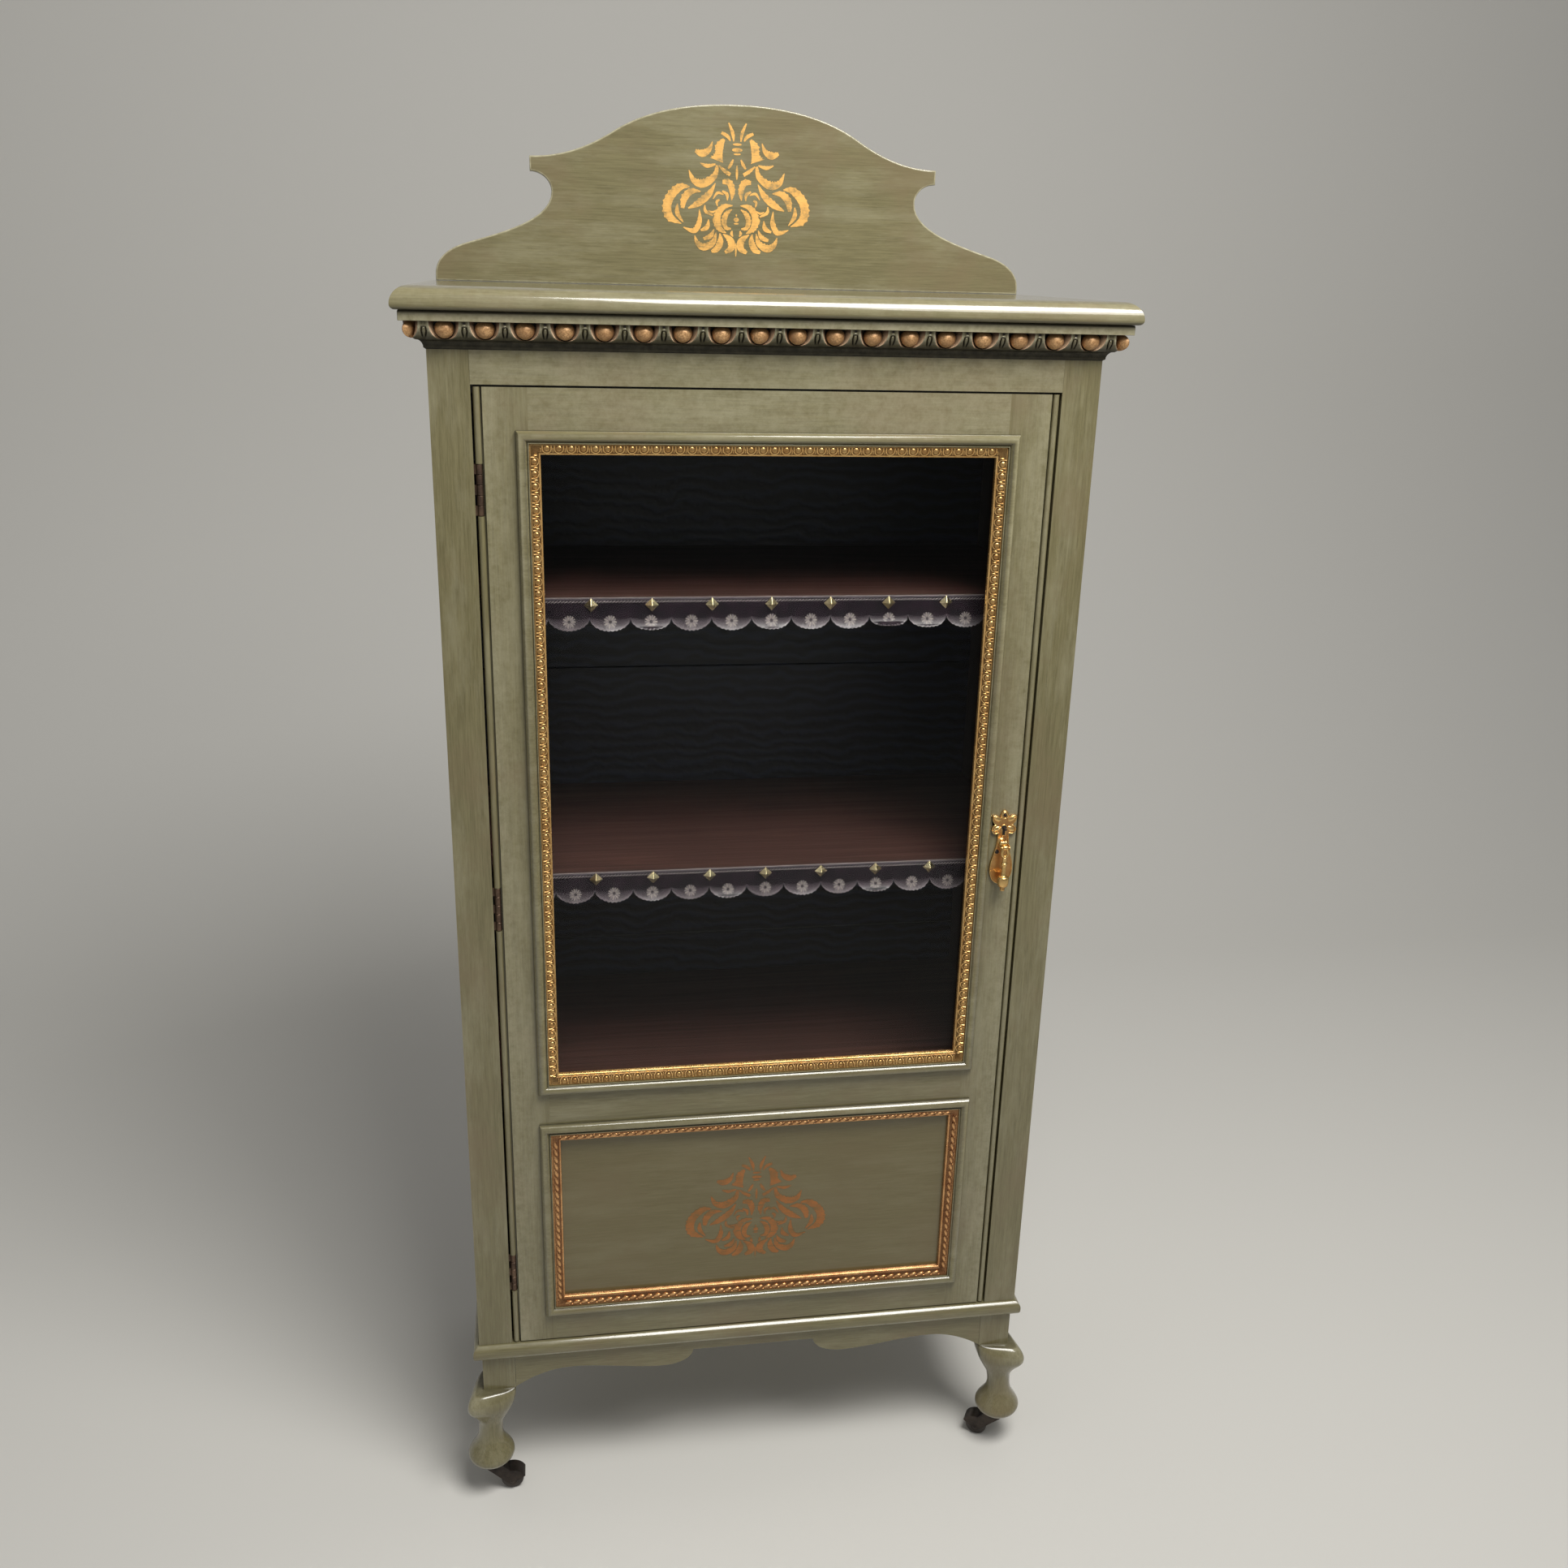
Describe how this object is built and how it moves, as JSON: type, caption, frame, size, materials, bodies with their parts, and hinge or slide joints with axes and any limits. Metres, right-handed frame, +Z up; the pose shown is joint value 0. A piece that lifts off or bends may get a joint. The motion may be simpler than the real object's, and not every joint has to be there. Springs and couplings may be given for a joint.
{
  "type": "glazed display cabinet",
  "caption": "Free-standing painted cabinet with a glazed and panelled door, fixed shelves, an egg-and-dart cornice, a shaped upstand, cabriole legs and swivel casters.",
  "frame": {"origin": "on the floor, under the middle of the cabinet's overall plan box", "axes": "+Z up, -Y out of the door side, +X to the right seen from the front; the door's hinges are on the -X side"},
  "size_m": [0.7064, 0.3642, 1.585],
  "materials": {
    "sage_paint": "wood painted sage green, brushed and satin, rubbed to brown along the edges",
    "gilt": "carved wood with worn copper-gold gilding",
    "mahogany": "reddish-brown stained wood, satin",
    "stained_softwood": "near-black stained softwood boards, matt",
    "leather": "dark embossed leather with brass pyramid studs",
    "aged_metal": "aged brown metal",
    "brass": "aged cast brass",
    "caster_wheel": "dark moulded composition, worn smooth",
    "glass": "clear flat pane"
  },
  "bodies": {
    "carcass": {"apron_front": "sage_paint", "apron_left": "sage_paint", "apron_rear": "sage_paint", "apron_right": "sage_paint", "back_panel": "stained_softwood", "base_board": "sage_paint", "caster_plate_front_left": "aged_metal", "caster_plate_front_right": "aged_metal", "caster_plate_rear_left": "aged_metal", "caster_plate_rear_right": "aged_metal", "cornice_front": "sage_paint", "cornice_left": "sage_paint", "cornice_right": "sage_paint", "dust_edging_middle": "leather", "dust_edging_upper": "leather", "face_rail_top": "sage_paint", "face_stile_left": "sage_paint", "face_stile_right": "sage_paint", "hinge_frame_leaf_bottom": "aged_metal", "hinge_frame_leaf_middle": "aged_metal", "hinge_frame_leaf_top": "aged_metal", "leg_front_left": "sage_paint", "leg_front_right": "sage_paint", "leg_rear_left": "sage_paint", "leg_rear_right": "sage_paint", "lock_keeper": "brass", "shelf_lower": "mahogany", "shelf_middle": "mahogany", "shelf_upper": "mahogany", "side_panel_left": "sage_paint", "side_panel_right": "sage_paint", "top_board": "sage_paint", "upstand": "sage_paint"},
    "door": {"door_glass": "glass", "door_panel": "sage_paint", "door_rail_bottom": "sage_paint", "door_rail_middle": "sage_paint", "door_rail_top": "sage_paint", "door_stile_left": "sage_paint", "door_stile_right": "sage_paint", "glass_moulding": "sage_paint", "glass_slip": "gilt", "glazing_beading": "mahogany", "handle_plate": "brass", "hinge_door_leaf_bottom": "aged_metal", "hinge_door_leaf_middle": "aged_metal", "hinge_door_leaf_top": "aged_metal", "lock_case": "brass", "panel_moulding": "sage_paint", "panel_slip": "gilt"},
    "drop_handle": {"drop_handle": "brass"},
    "lock_bolt": {"lock_bolt": "aged_metal"},
    "caster_fork_front_left": {"caster_fork_front_left": "aged_metal"},
    "caster_wheel_front_left": {"caster_wheel_front_left": "caster_wheel"},
    "caster_fork_front_right": {"caster_fork_front_right": "aged_metal"},
    "caster_wheel_front_right": {"caster_wheel_front_right": "caster_wheel"},
    "caster_fork_rear_left": {"caster_fork_rear_left": "aged_metal"},
    "caster_wheel_rear_left": {"caster_wheel_rear_left": "caster_wheel"},
    "caster_fork_rear_right": {"caster_fork_rear_right": "aged_metal"},
    "caster_wheel_rear_right": {"caster_wheel_rear_right": "caster_wheel"}
  },
  "joints": [
    {"name": "door_hinge", "type": "hinge", "parent": "carcass", "child": "door", "pos_m": [-0.2817, -0.1506, 0.769], "axis": [0, 0, -1], "range_deg": [0, 105]},
    {"name": "drop_handle_hinge", "type": "hinge", "parent": "door", "child": "drop_handle", "pos_m": [0.26195, -0.1669, 0.82984], "axis": [-1, 0, 0], "range_deg": [0, 110]},
    {"name": "lock_bolt_slide", "type": "slide", "parent": "door", "child": "lock_bolt", "axis": [1, 0, 0], "range_m": [0, 0.008]},
    {"name": "caster_swivel_front_left", "type": "hinge", "parent": "carcass", "child": "caster_fork_front_left", "pos_m": [-0.31715, -0.14605, 0], "axis": [0, 0, 1], "continuous": true},
    {"name": "caster_axle_front_left", "type": "hinge", "parent": "caster_fork_front_left", "child": "caster_wheel_front_left", "pos_m": [-0.29365, -0.14605, 0.0135], "axis": [0, 1, 0], "continuous": true},
    {"name": "caster_swivel_front_right", "type": "hinge", "parent": "carcass", "child": "caster_fork_front_right", "pos_m": [0.31715, -0.14605, 0], "axis": [0, 0, 1], "continuous": true},
    {"name": "caster_axle_front_right", "type": "hinge", "parent": "caster_fork_front_right", "child": "caster_wheel_front_right", "pos_m": [0.2968, -0.1343, 0.0135], "axis": [-0.5, -0.866, 0], "continuous": true},
    {"name": "caster_swivel_rear_left", "type": "hinge", "parent": "carcass", "child": "caster_fork_rear_left", "pos_m": [-0.31715, 0.1527, 0], "axis": [0, 0, 1], "continuous": true},
    {"name": "caster_axle_rear_left", "type": "hinge", "parent": "caster_fork_rear_left", "child": "caster_wheel_rear_left", "pos_m": [-0.29445, 0.15878, 0.0135], "axis": [-0.2588, 0.9659, 0], "continuous": true},
    {"name": "caster_swivel_rear_right", "type": "hinge", "parent": "carcass", "child": "caster_fork_rear_right", "pos_m": [0.31715, 0.1527, 0], "axis": [0, 0, 1], "continuous": true},
    {"name": "caster_axle_rear_right", "type": "hinge", "parent": "caster_fork_rear_right", "child": "caster_wheel_rear_right", "pos_m": [0.29365, 0.1527, 0.0135], "axis": [0, -1, 0], "continuous": true}
  ]
}
